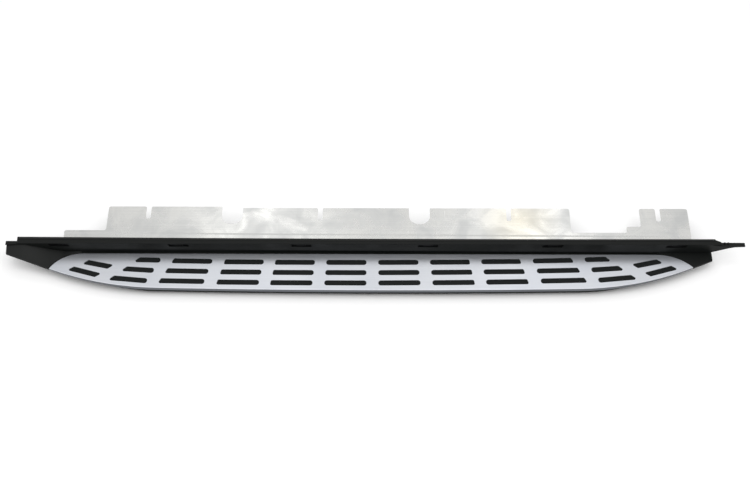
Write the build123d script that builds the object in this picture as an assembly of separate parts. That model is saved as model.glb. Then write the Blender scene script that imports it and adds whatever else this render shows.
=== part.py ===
from build123d import *
import math
import os

# Running board (side step) with a slotted tread, a black sill trim and an aluminium mounting sheet.
# All sizes are millimetres. The board is drawn with X along the vehicle, +Y towards the vehicle and
# +Z up, with X = 0 on the tread's middle, Y = 0 on the tread's back edge and Z = 0 on the tread's top.
# save() then moves every piece so that the origin is the middle of the whole board's underside.

# Whole board
LEFT_END = -984.0
RIGHT_END = 1000.0
PAST_END = 10.0
CLEARANCE = 0.3
HOLE_CLEARANCE = 0.15

# Tread plate outline: straight back edge, wide bowed front edge, straight ends that meet at a tip
TREAD_T = 1.5
TREAD_FRONT = -121.7
FRONT_ARC_R = 25500.0
TIP_R = 2.0
TREAD_EDGE_R = 1.2
# each end's own shape: where the bow ends, shoulder radius, end angle (degrees), tip, back corner start
LEFT_SHAPE = (574.0, 802.0, 22.0, 867.5, 779.0)
RIGHT_SHAPE = (552.0, 775.0, 24.5, 862.5, 766.0)
LIP_DEPTH = 10.0
LIP_DEPTH_TIP = 4.0
LIP_TAPER_START = 640.0

# Slots in the tread, right-hand half; the left-hand half is its mirror image, a little shorter.
# The whole field of slots is turned by a small skew.
SLOT_WIDTH = 16.8
SLOT_INNER_R = 7.2
SLOT_OUTER_R = 4.5
SLOT_SHARP_LEAN = 5.0
SLOT_SKEW = 0.26
LEFT_SLOT_SHIFT = 0.0035
ROW_Y = -29.0
ROW_PITCH = 34.3
ROW_RISE = 9.3
ROW_RISE_GAIN = 0.07
ROW_RISE_X = 605.0
ROW_RISE_POWER = 2.6
# each column: inner end, outer end, how far each end moves outwards per row, tilt in each row (degrees)
COLUMNS = [
    (16.0, 124.0, 0.0, 2.0, (0.2, 0.3, 0.4)),
    (155.0, 262.0, 2.5, 5.0, (0.4, 0.5, 0.5)),
    (293.0, 399.0, 5.0, 8.0, (0.5, 0.6, 0.8)),
    (432.0, 539.0, 8.5, 15.0, (1.3, 1.4, 1.4)),
    (572.0, 637.0, 15.0, 31.5, (1.6, 4.3, 6.0)),
]
# each tip slot: inner end, outer end, Y of its middle, tilt, lean of both its ends (degrees)
TIP_SLOTS = [
    (703.0, 775.0, -34.5, 13.2, 38.0),
    (733.0, 813.0, -59.4, 17.1, 38.0),
]
TIP_SLOT_R = 4.0

# Grip mats
MAT_T = 2.0
MAT_INSET = 8.0
MAT_SPLIT = 284.0
MAT_GAP = 1.5
PAD_HEIGHT = 1.0
PAD_CLEARANCE = 0.4
PAD_EDGE_R = 0.8

# Step body
BODY_INSET = TREAD_T + 0.2
DECK_T = 3.0
RIM_T = 3.0
BODY_BOTTOM = -18.5
BODY_BOTTOM_TIP = -5.0
BODY_TAPER_START = 600.0
BODY_TAPER_END = 770.0
RIB_T = 2.5
RIB_COUNT = 30
LONG_RIB_Y = (-55.0, -95.0)
UPSTAND_T = 2.5
UPSTAND_TOP = 22.0
UPSTAND_LEFT = -880.0
REAR_DECK_GAP = 0.5
MAT_TOP = -TREAD_T
DECK_TOP = MAT_TOP - MAT_T
DECK_BOTTOM = DECK_TOP - DECK_T

# Sill trim
WALL = 3.0
FACE_Y = 4.0
FACE_BOTTOM_LEFT = 15.0
FACE_BOTTOM_RIGHT = 2.0
LEDGE_TOP = 40.0
LEDGE_NOSE = 2.8
NOSE_CHAMFER = 1.0
# Y of the ledge's bowed back edge at its left end, near its middle and at its right end
LEDGE_BACKS = (22.0, 17.6, 19.2)
LEDGE_MIDDLE_X = 150.0
LEDGE_LEFT = -954.0
LEDGE_RIGHT = 922.0
LEDGE_SLOPE = 15.0
FACE_RIGHT = 906.0
FACE_DROP_START = 850.0
FACE_DROP_BOTTOM = 1.5
FACE_RISE = (957.0, 22.0)
TONGUE_TOP = 37.5
TONGUE_FRONT = -2.0
TONGUE_BACK = 12.0
TONGUE_NOSE_X = 960.0
TAB_BACK = 12.0
TAB_END = -922.0
WINDOW_XS = (-844.0, -521.5, -191.0, 150.5, 486.0, 818.5)
WINDOW_HALF = 27.0
WINDOW_TOP = 38.5
WINDOW_HEIGHT = 14.0
WINDOW_LEAN = 7.0
PIP_R = 2.5
PIP_HEIGHT = 3.0
PIP_XS = (946.0, 955.0)

# Clip behind each window
CLIP_MARGIN = 5.0
NIB_HALF = 12.0
NIB_T = 1.0

# Sill seal, which laps over the ledge's back edge
SEAL_T = 1.2
SEAL_LAP = 5.0
SEAL_BEHIND = 2.0
SEAL_CHAMFER = 0.5

# Mounting sheet
SHEET_T = 2.0
SHEET_LEFT = -831.0
SHEET_RIGHT = 858.5
WEB_HALF = 770.0
WEB_BOTTOM = -30.0
WEB_END_BOTTOM = 12.0
STRIP_TOP = LEDGE_TOP - WALL
JOGGLE = 3.0
FOLD_Y = 34.6
FOLD_SKEW = -0.3
FOLD_FAR = 150.0
FLANGE_TOP = STRIP_TOP + JOGGLE
FLANGE_BACK = 127.0
FLANGE_BACK_LEFT = 131.0
LEFT_STRIP_BACK = 48.0
LEFT_TAB_X = -719.0
SLOT_XS = (-609.0, -142.0, 371.0, 777.0)
U_SLOT_WIDTH = 13.0
U_SLOT_BOTTOM = 82.5
U_SLOT_BOTTOM_LEFT = 88.0
U_MOUTH_R = 3.0
NOTCH_XS = (-381.0, 128.0)
NOTCH_WIDTH = 57.0
NOTCH_BOTTOM = 71.0
GAP_LEFT = 537.0
GAP_STEP = 687.0
GAP_RIGHT = 727.0
GAP_FLOOR = 43.0
STEP_FLOOR = 64.0
SHEET_CORNER_R = 6.0

# Support beam
WEB_FRONT = FACE_Y + WALL + UPSTAND_T
BEAM_DEPTH = 60.0
BEAM_BOTTOM = -32.0
BEAM_WALL = 2.5
BEAM_HALF = 768.0
BEAM_CORNER_R = 3.0
PLUG_FLANGE = 3.0
PLUG_INSERT = 18.0

# Support brackets
BRACKET_XS = (-560.0, -250.0, -20.0, 240.0, 470.0)
BRACKET_W = 44.0
BRACKET_T = 3.0
BRACKET_BACK = 86.0
BOLT_OFFSET = 13.0
BOLT_Z = -19.0
RIB_HEEL = 2.0
RIB_NOSE = 4.0

# Fasteners
BOLT_R = 4.0
BOLT_HEAD_R = 7.5
BOLT_HEAD_H = 5.3
WASHER_R = 8.5
WASHER_T = 1.6
RIVET_NUT_R = 5.5
RIVET_NUT_LENGTH = 14.0
RIVET_NUT_BULGE = 1.5
RIVET_NUT_BULGE_T = 2.5
RIVET_R = 2.4
RIVET_HEAD_R = 5.0
RIVET_HEAD_H = 1.6
RIVET_Z = 17.0
RIVET_XS = (-700.0, -490.0, -340.0, -150.0, 60.0, 170.0, 350.0, 560.0, 700.0)
SCREW_R = 2.0
SCREW_HEAD_R = 4.4
SCREW_HEAD_H = 2.0
SCREW_GRIP = 8.0
BODY_SCREW_Y = -24.0
BODY_SCREW_COUNT = 10
STUD_R = 2.5
STUD_LENGTH = 16.0
STUD_PITCH = 141.5
STUD_COUNT = 9
STUD_Y = -80.0
NUT_R = 4.6
NUT_H = 4.5

# End caps
CAP_WALL = 3.0
LEFT_CAP_END = -982.0
LEFT_CAP_CORNER = (-20.0, 24.0)
LEFT_CAP_TOP = 33.0
LEFT_CAP_TOP_X = -940.0
LEFT_CAP_LOW_TOP = 2.5
LEFT_CAP_LOW_X = -832.0
LEFT_CAP_START = -785.0
RIGHT_CAP_START = 775.0
RIGHT_CAP_END = 916.0
RIGHT_CAP_CORNER = (-19.5, 0.0)
RIGHT_CAP_TOP = 1.5
RIGHT_CAP_HIGH_TOP = 2.0
CAP_BOTTOM = -5.0
CAP_LIP = 5.5
CAP_STATIONS = 12
CAP_FLANGE_TOP = 20.0
LEFT_CAP_SCREW_XS = (-932.0, -960.0)
RIGHT_CAP_SCREW_XS = (872.0, 896.0)
CAP_SCREW_Z = (19.0, 12.0)
CAP_SCREW_HEAD_H = 2.5
CAP_BOSS_WALL = 2.5
CAP_BOSS_LENGTH = 14.0
CAP_SCREW_GRIP = 11.0


def block(x0, x1, y0, y1, z0, z1):
    """A box between two corners."""
    size = Box(x1 - x0, y1 - y0, z1 - z0)
    return Pos((x0 + x1) / 2, (y0 + y1) / 2, (z0 + z1) / 2) * size


def prism(points, z0, z1):
    """A straight-sided outline in X and Y, drawn up from z0 to z1."""
    face = make_face(Polyline(*points, close=True))
    return Pos(0, 0, z0) * extrude(face, z1 - z0, dir=(0, 0, 1))


def prism_along_x(points, x0, x1):
    """An outline of (Y, Z) points, drawn along X."""
    face = Plane.YZ * make_face(Polyline(*points, close=True))
    return Pos(x0, 0, 0) * extrude(face, x1 - x0, dir=(1, 0, 0))


def prism_along_y(points, y0, y1):
    """An outline of (X, Z) points, drawn along Y."""
    corners = [Vector(x, y0, z) for x, z in points]
    face = make_face(Polyline(*corners, close=True))
    return extrude(face, y1 - y0, dir=(0, 1, 0))


def post(x, y, z0, z1, radius):
    """A round post standing along Z."""
    return Pos(x, y, (z0 + z1) / 2) * Cylinder(radius, z1 - z0)


def peg(x, z, y0, y1, radius):
    """A round peg lying along Y."""
    return Pos(x, (y0 + y1) / 2, z) * Rot(90, 0, 0) * Cylinder(radius, y1 - y0)


def hexagon_post(x, y, z0, z1, radius):
    """A hexagonal post standing along Z."""
    return Pos(x, y, z0) * extrude(RegularPolygon(radius, 6), z1 - z0, dir=(0, 0, 1))


def hexagon_peg(x, z, y0, y1, radius):
    """A hexagonal peg lying along Y."""
    return Pos(x, y1, z) * Rot(90, 0, 0) * extrude(RegularPolygon(radius, 6), y1 - y0, dir=(0, 0, 1))


def mirrored(shape):
    """The same shape on the other half of the board."""
    return mirror(shape, about=Plane.YZ)


def spread(count, pitch):
    """Evenly pitched places, centred on zero."""
    return [(i - (count - 1) / 2) * pitch for i in range(count)]


def front_side(side, shape):
    """One end of the tread: its shoulder, straight end and back corner, and its tip and bow end."""
    half_span, radius, angle, tip_x, corner_x = shape
    low = math.asin(half_span / FRONT_ARC_R)
    high = math.radians(angle)
    mid = (low + high) / 2
    bow_y = TREAD_FRONT + FRONT_ARC_R * (1 - math.cos(low))
    centre_x = half_span - radius * math.sin(low)
    centre_y = bow_y + radius * math.cos(low)
    turns = (low, mid, high)
    shoulder = [
        (side * (centre_x + radius * math.sin(turn)), centre_y - radius * math.cos(turn)) for turn in turns
    ]
    tip_y = shoulder[2][1] + (tip_x - abs(shoulder[2][0])) * math.tan(high)
    back_r = corner_radius(tip_x - corner_x, tip_y)
    turn = math.asin((tip_x - corner_x) / back_r) / 2
    back_mid = (side * (corner_x + back_r * math.sin(turn)), back_r * (math.cos(turn) - 1))
    tip = (side * tip_x, tip_y)
    edges = [
        ThreePointArc(*shoulder),
        Line(shoulder[2], tip),
        ThreePointArc(tip, back_mid, (side * corner_x, 0)),
    ]
    return edges, tip, shoulder[0]


def corner_radius(dx, tip_y):
    """Radius of a back corner that leaves the back edge square and reaches the tip dx further out."""
    return (dx ** 2 + tip_y ** 2) / (-2 * tip_y)


def tread_outline():
    """The tread's outline, and the tip at each end."""
    left, left_tip, left_bow = front_side(-1, LEFT_SHAPE)
    right, right_tip, right_bow = front_side(1, RIGHT_SHAPE)
    bow = ThreePointArc(left_bow, (0, TREAD_FRONT), right_bow)
    back = Line((-LEFT_SHAPE[-1], 0), (RIGHT_SHAPE[-1], 0))
    face = make_face(Curve() + [bow, back] + left + right)
    tips = face.vertices().filter_by(lambda v: v.X < left_tip[0] + 1 or v.X > right_tip[0] - 1)
    return fillet(tips, TIP_R), left_tip, right_tip


TREAD_FACE, LEFT_TIP, RIGHT_TIP = tread_outline()
TIP_X = max(-LEFT_TIP[0], RIGHT_TIP[0])
TIP_Y = min(LEFT_TIP[1], RIGHT_TIP[1])


def outline_inside(inset):
    """The tread's outline, moved inwards all round."""
    return offset(TREAD_FACE, -inset, kind=Kind.INTERSECTION)


def slot_face(inner, outer, middle_y, tilt, lean, inner_lean, inner_r, outer_r, shrink):
    """One slot on the right-hand half: an upright or leaning inner end and a leaning outer end."""
    half = SLOT_WIDTH / 2 - shrink
    outer_dx = half * math.tan(math.radians(lean))
    inner_dx = half * math.tan(math.radians(inner_lean))
    length = (outer - inner) / 2 - shrink
    corners = [
        (-length - inner_dx, half),
        (-length + inner_dx, -half),
        (length + outer_dx, -half),
        (length - outer_dx, half),
    ]
    face = make_face(Polyline(*corners, close=True))
    face = fillet(face.vertices().filter_by(lambda v: v.X < 0), inner_r - shrink)
    face = fillet(face.vertices().sort_by(Axis.X)[-2:], outer_r - shrink * 0.5)
    return Pos((inner + outer) / 2, middle_y) * Rot(0, 0, tilt) * face


def slot_faces(shrink=0.0):
    """All the slots, each side by side with its mirror image; shrink makes them smaller all round."""
    faces = []
    for inner, outer, inner_step, outer_step, tilts in COLUMNS:
        lean = math.degrees(math.atan2(outer_step, ROW_PITCH))
        for row in range(3):
            start = inner + row * inner_step
            end = outer + row * outer_step
            middle = (start + end) / 2
            rise = ROW_RISE * (1 + ROW_RISE_GAIN * row) * (middle / ROW_RISE_X) ** ROW_RISE_POWER
            middle_y = ROW_Y - ROW_PITCH * row + rise
            outer_r = SLOT_INNER_R if lean < SLOT_SHARP_LEAN else SLOT_OUTER_R
            faces.append(slot_face(start, end, middle_y, tilts[row], lean, 0, SLOT_INNER_R, outer_r, shrink))
    for inner, outer, middle_y, tilt, lean in TIP_SLOTS:
        faces.append(slot_face(inner, outer, middle_y, tilt, lean, lean, TIP_SLOT_R, TIP_SLOT_R, shrink))
    left = [Pos(LEFT_SLOT_SHIFT * face.center().X) * mirrored(face) for face in faces]
    return [Rot(0, 0, SLOT_SKEW) * face for face in faces + left]


def end_wedge(start, top_start, end, top_end, bottom):
    """The space under a line that rises from start to end, on both ends of the board."""
    far = TIP_X + PAST_END
    outline = [(start, top_start), (end, top_end), (far, top_end), (far, bottom), (start, bottom)]
    wedge = prism_along_y(outline, TREAD_FRONT - PAST_END, WEB_FRONT + PAST_END)
    return [wedge, mirrored(wedge)]


def stud_places():
    return [(x, STUD_Y) for x in spread(STUD_COUNT, STUD_PITCH)]


def body_screw_places():
    return [(x, BODY_SCREW_Y) for x in spread(BODY_SCREW_COUNT, STUD_PITCH)]


def tread_plate():
    """Pressed plate with a turned-down front lip that gets shallower towards the tips."""
    blank = extrude(TREAD_FACE, -LIP_DEPTH)
    hollow = Pos(0, 0, -TREAD_T) * extrude(outline_inside(TREAD_T), -LIP_DEPTH)
    plate = blank - hollow
    plate -= block(-TIP_X, TIP_X, TIP_Y + 6, 10, -LIP_DEPTH - 1, -TREAD_T)
    for wedge in end_wedge(LIP_TAPER_START, -LIP_DEPTH, TIP_X, -LIP_DEPTH_TIP, -LIP_DEPTH - 5):
        plate -= wedge
    top_edges = plate.faces().sort_by(Axis.Z)[-1].outer_wire().edges()
    front_edges = [edge for edge in top_edges if edge.center().Y < TIP_Y - 4]
    plate = fillet(front_edges, TREAD_EDGE_R)
    for face in slot_faces():
        plate -= Pos(0, 0, -TREAD_T - 1) * extrude(face, TREAD_T + 2, dir=(0, 0, 1))
    return plate


def grip_mat(x0, x1):
    """Flat rubber web under the tread, with a raised pad through each slot."""
    area = outline_inside(MAT_INSET) & Pos((x0 + x1) / 2, 0) * Rectangle(x1 - x0, -3 * TREAD_FRONT)
    mat = Pos(0, 0, MAT_TOP) * extrude(area, -MAT_T)
    for face in slot_faces(PAD_CLEARANCE):
        if x0 < face.bounding_box().center().X < x1:
            pad = Pos(0, 0, MAT_TOP - 0.5) * extrude(face, -MAT_TOP + 0.5 + PAD_HEIGHT, dir=(0, 0, 1))
            pad = chamfer(pad.faces().sort_by(Axis.Z)[-1].edges(), PAD_EDGE_R)
            mat += pad
    for x, y in stud_places():
        mat -= post(x, y, MAT_TOP - MAT_T - 1, MAT_TOP + 1, STUD_R + 1)
    return mat


def mat_ranges():
    """Start and end of each of the three mats."""
    half_gap = MAT_GAP / 2
    return {
        "grip_mat_left": (-TIP_X, -MAT_SPLIT - half_gap),
        "grip_mat_centre": (-MAT_SPLIT + half_gap, MAT_SPLIT - half_gap),
        "grip_mat_right": (MAT_SPLIT + half_gap, TIP_X),
    }


def step_body():
    """Moulded carrier: deck with a mat recess, rim, ribs and the upstand behind the tread."""
    outer = outline_inside(BODY_INSET)
    body = Pos(0, 0, -TREAD_T) * extrude(outer, BODY_BOTTOM + TREAD_T)
    hollow = Pos(0, 0, DECK_BOTTOM) * extrude(outline_inside(BODY_INSET + RIM_T), BODY_BOTTOM)
    body -= hollow
    body -= Pos(0, 0, MAT_TOP + 1) * extrude(outline_inside(MAT_INSET - 0.5), -MAT_T - 1)
    rib_field = outline_inside(BODY_INSET + RIM_T / 2)
    ribs = []
    for x in spread(RIB_COUNT, STUD_PITCH / 3):
        ribs.append(Pos(x, TREAD_FRONT / 2) * Rectangle(RIB_T, -TREAD_FRONT))
    for y in LONG_RIB_Y:
        ribs.append(Pos(0, y) * Rectangle(2 * TIP_X, RIB_T))
    for rib in ribs:
        area = rib & rib_field
        body += Pos(0, 0, DECK_BOTTOM + 0.5) * extrude(area, BODY_BOTTOM - DECK_BOTTOM - 0.5)
    beam_front = WEB_FRONT - BEAM_DEPTH - CLEARANCE
    body -= block(-TIP_X, TIP_X, beam_front, WEB_FRONT, BODY_BOTTOM - 1, DECK_BOTTOM)
    for wedge in end_wedge(BODY_TAPER_START, BODY_BOTTOM, BODY_TAPER_END, BODY_BOTTOM_TIP, BODY_BOTTOM - 5):
        body -= wedge
    left = LEFT_CAP_START + REAR_DECK_GAP
    right = RIGHT_CAP_START - REAR_DECK_GAP
    body += block(left, right, -BODY_INSET - 1, WEB_FRONT, DECK_BOTTOM, -TREAD_T)
    body += block(UPSTAND_LEFT, right, WEB_FRONT - UPSTAND_T, WEB_FRONT, DECK_BOTTOM, UPSTAND_TOP)
    for x, y in stud_places():
        body -= post(x, y, DECK_BOTTOM - 1, DECK_TOP + 1, STUD_R + HOLE_CLEARANCE)
    for x, y in body_screw_places():
        body -= post(x, y, DECK_BOTTOM - 1, DECK_TOP + 1, SCREW_R + HOLE_CLEARANCE)
        body -= post(x, y, DECK_TOP - SCREW_HEAD_H, DECK_TOP + 1, SCREW_HEAD_R + HOLE_CLEARANCE)
    for x in RIVET_XS:
        body -= peg(x, RIVET_Z, WEB_FRONT - UPSTAND_T - 1, WEB_FRONT + 1, RIVET_R + HOLE_CLEARANCE)
    return body


def window_outline(x):
    """A window's four corners in X and Z; its ends lean the opposite way on each half of the board."""
    lean = WINDOW_LEAN * (-1 if x < 0 else 1) * min(1.0, abs(x) / 500)
    bottom = WINDOW_TOP - WINDOW_HEIGHT
    return [
        (x - WINDOW_HALF + lean / 2, WINDOW_TOP),
        (x + WINDOW_HALF + lean / 2, WINDOW_TOP),
        (x + WINDOW_HALF - lean / 2, bottom),
        (x - WINDOW_HALF - lean / 2, bottom),
    ]


def ledge_back_arc(shift=0.0):
    """The ledge's bowed back edge, moved along Y by a shift."""
    left_y, middle_y, right_y = LEDGE_BACKS
    return ThreePointArc(
        (LEDGE_LEFT, left_y + shift),
        (LEDGE_MIDDLE_X, middle_y + shift),
        (LEDGE_RIGHT, right_y + shift),
    )


def trim_ledge():
    """The flat ledge, with an eased front edge and a sloping right-hand end."""
    slope_end = LEDGE_RIGHT + LEDGE_SLOPE
    back = ledge_back_arc()
    nose_line = [(slope_end, LEDGE_NOSE), (LEDGE_LEFT, LEDGE_NOSE)]
    rest = Polyline(back @ 1, (slope_end, TONGUE_BACK), *nose_line, back @ 0)
    ledge = Pos(0, 0, LEDGE_TOP - WALL) * extrude(make_face(back + rest), WALL, dir=(0, 0, 1))
    nose = ledge.edges().filter_by(Axis.X).group_by(Axis.Z)[-1].sort_by(Axis.Y)[0]
    return chamfer(nose, NOSE_CHAMFER)


def trim_face():
    """The upright face, which deepens to the right and rises into the tongue at its right-hand end."""
    slope_end = LEDGE_RIGHT + LEDGE_SLOPE
    outline = [
        (LEFT_CAP_END, FACE_BOTTOM_LEFT),
        (LEFT_CAP_START, FACE_BOTTOM_LEFT),
        (FACE_DROP_START, FACE_BOTTOM_RIGHT),
        (FACE_RIGHT, FACE_DROP_BOTTOM),
        FACE_RISE,
        (RIGHT_END, TONGUE_TOP - WALL),
        (RIGHT_END, TONGUE_TOP - 1),
        (slope_end, TONGUE_TOP - 1),
        (LEDGE_RIGHT, LEDGE_TOP - 1),
        (LEDGE_LEFT, LEDGE_TOP - 1),
        (LEDGE_LEFT, TONGUE_TOP - 1),
        (LEFT_CAP_END, TONGUE_TOP - 1),
    ]
    return prism_along_y(outline, FACE_Y, FACE_Y + WALL)


def sill_trim():
    """Moulded rail: ledge over the sheet, face with windows, left end tab and right-hand tongue."""
    tongue_outline = [
        (FACE_RIGHT, FACE_Y),
        (LEDGE_RIGHT + LEDGE_SLOPE, TONGUE_FRONT),
        (TONGUE_NOSE_X, TONGUE_FRONT - 0.5),
        (RIGHT_END, TONGUE_FRONT + 1.5),
        (RIGHT_END, TONGUE_BACK - 0.5),
        (LEDGE_RIGHT, TONGUE_BACK),
        (FACE_RIGHT, FACE_Y + WALL),
    ]
    tongue = prism(tongue_outline, TONGUE_TOP - WALL, TONGUE_TOP)
    tab_outline = [(LEFT_END, 0), (TAB_END, FACE_Y), (TAB_END, TAB_BACK), (LEFT_END, TAB_BACK)]
    tab = prism(tab_outline, TONGUE_TOP - WALL, TONGUE_TOP)
    trim = trim_ledge() + trim_face() + tongue + tab
    for x in PIP_XS:
        trim += post(x, TONGUE_BACK - PIP_R - 1, TONGUE_TOP - 1, TONGUE_TOP + PIP_HEIGHT, PIP_R)
    for x in WINDOW_XS:
        trim -= prism_along_y(window_outline(x), FACE_Y - 1, FACE_Y + WALL)
    for x in LEFT_CAP_SCREW_XS:
        trim -= peg(x, CAP_SCREW_Z[0], FACE_Y - 1, FACE_Y + WALL + 1, SCREW_R + HOLE_CLEARANCE)
    for x in RIGHT_CAP_SCREW_XS:
        trim -= peg(x, CAP_SCREW_Z[1], FACE_Y + 1, FACE_Y + WALL + 1, SCREW_R + HOLE_CLEARANCE)
    return trim


def trim_clips():
    """A clip plate behind each window, standing on the step body's upstand, with a nib in the window."""
    front = FACE_Y + WALL
    nib_bottom = WINDOW_TOP - WINDOW_HEIGHT + NIB_T
    clips = []
    for x in WINDOW_XS:
        half = WINDOW_HALF + CLIP_MARGIN
        clip = block(x - half, x + half, front, WEB_FRONT, UPSTAND_TOP, STRIP_TOP)
        nib = block(x - NIB_HALF, x + NIB_HALF, front - NIB_T, front, nib_bottom, STRIP_TOP - NIB_T)
        clips.append(clip + nib)
    return clips


def sill_seal():
    """Rubber edging lapped over the ledge's bowed back edge and down to the sheet."""
    front = ledge_back_arc(-SEAL_LAP)
    back = ledge_back_arc(SEAL_BEHIND)
    strip = make_face(front + back + [Line(front @ 0, back @ 0), Line(front @ 1, back @ 1)])
    seal = Pos(0, 0, STRIP_TOP) * extrude(strip, LEDGE_TOP + SEAL_T - STRIP_TOP, dir=(0, 0, 1))
    seal = chamfer(seal.faces().sort_by(Axis.Z)[-1].edges(), SEAL_CHAMFER)
    inside = ledge_back_arc(-SEAL_LAP - WALL)
    edge = ledge_back_arc()
    lap = make_face(inside + edge + [Line(inside @ 0, edge @ 0), Line(inside @ 1, edge @ 1)])
    return seal - Pos(0, 0, STRIP_TOP - 1) * extrude(lap, LEDGE_TOP - STRIP_TOP + 1, dir=(0, 0, 1))


def u_slot(x, bottom, back):
    """An open slot with a round bottom and an eased mouth, cut from the flange's back edge."""
    half = U_SLOT_WIDTH / 2
    z0 = FLANGE_TOP - SHEET_T - 1
    z1 = FLANGE_TOP + 1
    cut = block(x - half, x + half, bottom + half, back + 1, z0, z1)
    cut += post(x, bottom + half, z0, z1, half)
    mouth = prism(
        [
            (x - half - U_MOUTH_R, back + 0.01),
            (x - half, back - U_MOUTH_R),
            (x + half, back - U_MOUTH_R),
            (x + half + U_MOUTH_R, back + 0.01),
        ],
        z0,
        z1,
    )
    return cut + mouth


def fold_y(x):
    """Y of the sheet's slightly skewed joggle at a distance x from the middle."""
    return FOLD_Y + x * math.tan(math.radians(FOLD_SKEW))


def sheet_outline():
    """The flat sheet's outline in X and Y, with its end tabs and its wide gap."""
    notch = NOTCH_XS[0]
    face = make_face(Polyline(
        (SHEET_LEFT, WEB_FRONT),
        (SHEET_RIGHT, WEB_FRONT),
        (SHEET_RIGHT, FLANGE_BACK),
        (GAP_RIGHT, FLANGE_BACK),
        (GAP_RIGHT, STEP_FLOOR),
        (GAP_STEP, STEP_FLOOR),
        (GAP_STEP, GAP_FLOOR),
        (GAP_LEFT, GAP_FLOOR),
        (GAP_LEFT, FLANGE_BACK),
        (notch, FLANGE_BACK),
        (notch, FLANGE_BACK_LEFT),
        (LEFT_TAB_X, FLANGE_BACK_LEFT),
        (LEFT_TAB_X, LEFT_STRIP_BACK),
        (SHEET_LEFT, LEFT_STRIP_BACK),
        close=True,
    ))
    outer = face.vertices().filter_by(lambda v: v.Y > WEB_FRONT + 1 and abs(v.X - notch) > 1)
    rounded = [v for v in outer if abs(v.X - SHEET_RIGHT) > 1 or v.Y > STEP_FLOOR]
    return fillet(rounded, SHEET_CORNER_R)


def mounting_sheet():
    """Folded sheet: web down to the beam, strip under the trim's ledge, joggle and flange."""
    section = [
        (0, STRIP_TOP - SHEET_T),
        (FOLD_Y, STRIP_TOP - SHEET_T),
        (FOLD_Y + JOGGLE, FLANGE_TOP - SHEET_T),
        (FOLD_FAR, FLANGE_TOP - SHEET_T),
        (FOLD_FAR, FLANGE_TOP),
        (FOLD_Y + JOGGLE - 1, FLANGE_TOP),
        (FOLD_Y - 1, STRIP_TOP),
        (0, STRIP_TOP),
    ]
    top = Rot(0, 0, FOLD_SKEW) * prism_along_x(section, LEFT_END, RIGHT_END)
    top &= Pos(0, 0, WEB_BOTTOM) * extrude(sheet_outline(), FLANGE_TOP - WEB_BOTTOM)
    sheet = top + block(SHEET_LEFT, SHEET_RIGHT, WEB_FRONT, WEB_FRONT + SHEET_T, WEB_BOTTOM, STRIP_TOP)
    for x in SLOT_XS:
        left = x < NOTCH_XS[0]
        bottom = U_SLOT_BOTTOM_LEFT if left else U_SLOT_BOTTOM
        sheet -= u_slot(x, bottom, FLANGE_BACK_LEFT if left else FLANGE_BACK)
    for x in NOTCH_XS:
        half = NOTCH_WIDTH / 2
        z0 = STRIP_TOP - SHEET_T - 1
        sheet -= block(x - half, x + half, NOTCH_BOTTOM + half, FLANGE_BACK_LEFT + 1, z0, FLANGE_TOP + 1)
        sheet -= post(x, NOTCH_BOTTOM + half, z0, FLANGE_TOP + 1, half)
    for x0, x1 in ((SHEET_LEFT - 1, -WEB_HALF), (WEB_HALF, SHEET_RIGHT + 1)):
        sheet -= block(x0, x1, WEB_FRONT - 1, WEB_FRONT + SHEET_T + 1, WEB_BOTTOM - 1, WEB_END_BOTTOM)
    for x, z in bolt_places():
        sheet -= peg(x, z, WEB_FRONT - 1, WEB_FRONT + SHEET_T + 1, BOLT_R + HOLE_CLEARANCE)
    for x in RIVET_XS:
        sheet -= peg(x, RIVET_Z, WEB_FRONT - 1, WEB_FRONT + SHEET_T + 1, RIVET_R + HOLE_CLEARANCE)
    return sheet


def bolt_places():
    return [(x + side * BOLT_OFFSET, BOLT_Z) for x in BRACKET_XS for side in (-1, 1)]


def support_beam():
    """Rectangular extrusion under the tread, open at both ends."""
    y0 = WEB_FRONT - BEAM_DEPTH
    outer = block(-BEAM_HALF, BEAM_HALF, y0, WEB_FRONT, BEAM_BOTTOM, DECK_BOTTOM)
    outer = fillet(outer.edges().filter_by(Axis.X), BEAM_CORNER_R)
    inner = block(
        -BEAM_HALF - 1,
        BEAM_HALF + 1,
        y0 + BEAM_WALL,
        WEB_FRONT - BEAM_WALL,
        BEAM_BOTTOM + BEAM_WALL,
        DECK_BOTTOM - BEAM_WALL,
    )
    beam = outer - inner
    for x, z in bolt_places():
        beam -= peg(x, z, WEB_FRONT - BEAM_WALL - 1, WEB_FRONT + 1, RIVET_NUT_R + HOLE_CLEARANCE)
    for x, y in body_screw_places():
        beam -= post(x, y, DECK_BOTTOM - BEAM_WALL - 1, DECK_BOTTOM + 1, SCREW_R + HOLE_CLEARANCE)
    return beam


def beam_plug():
    """Plug for the beam's right-hand end: a flange with a hollow insert."""
    y0 = WEB_FRONT - BEAM_DEPTH
    flange = block(BEAM_HALF, BEAM_HALF + PLUG_FLANGE, y0, WEB_FRONT, BEAM_BOTTOM, DECK_BOTTOM)
    flange = fillet(flange.edges().filter_by(Axis.X), BEAM_CORNER_R)
    gap = BEAM_WALL + HOLE_CLEARANCE
    insert = block(
        BEAM_HALF - PLUG_INSERT,
        BEAM_HALF + 1,
        y0 + gap,
        WEB_FRONT - gap,
        BEAM_BOTTOM + gap,
        DECK_BOTTOM - gap,
    )
    hollow = block(
        BEAM_HALF - PLUG_INSERT - 1,
        BEAM_HALF,
        y0 + gap + BEAM_WALL,
        WEB_FRONT - gap - BEAM_WALL,
        BEAM_BOTTOM + gap + BEAM_WALL,
        DECK_BOTTOM - gap - BEAM_WALL,
    )
    return flange + insert - hollow


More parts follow.
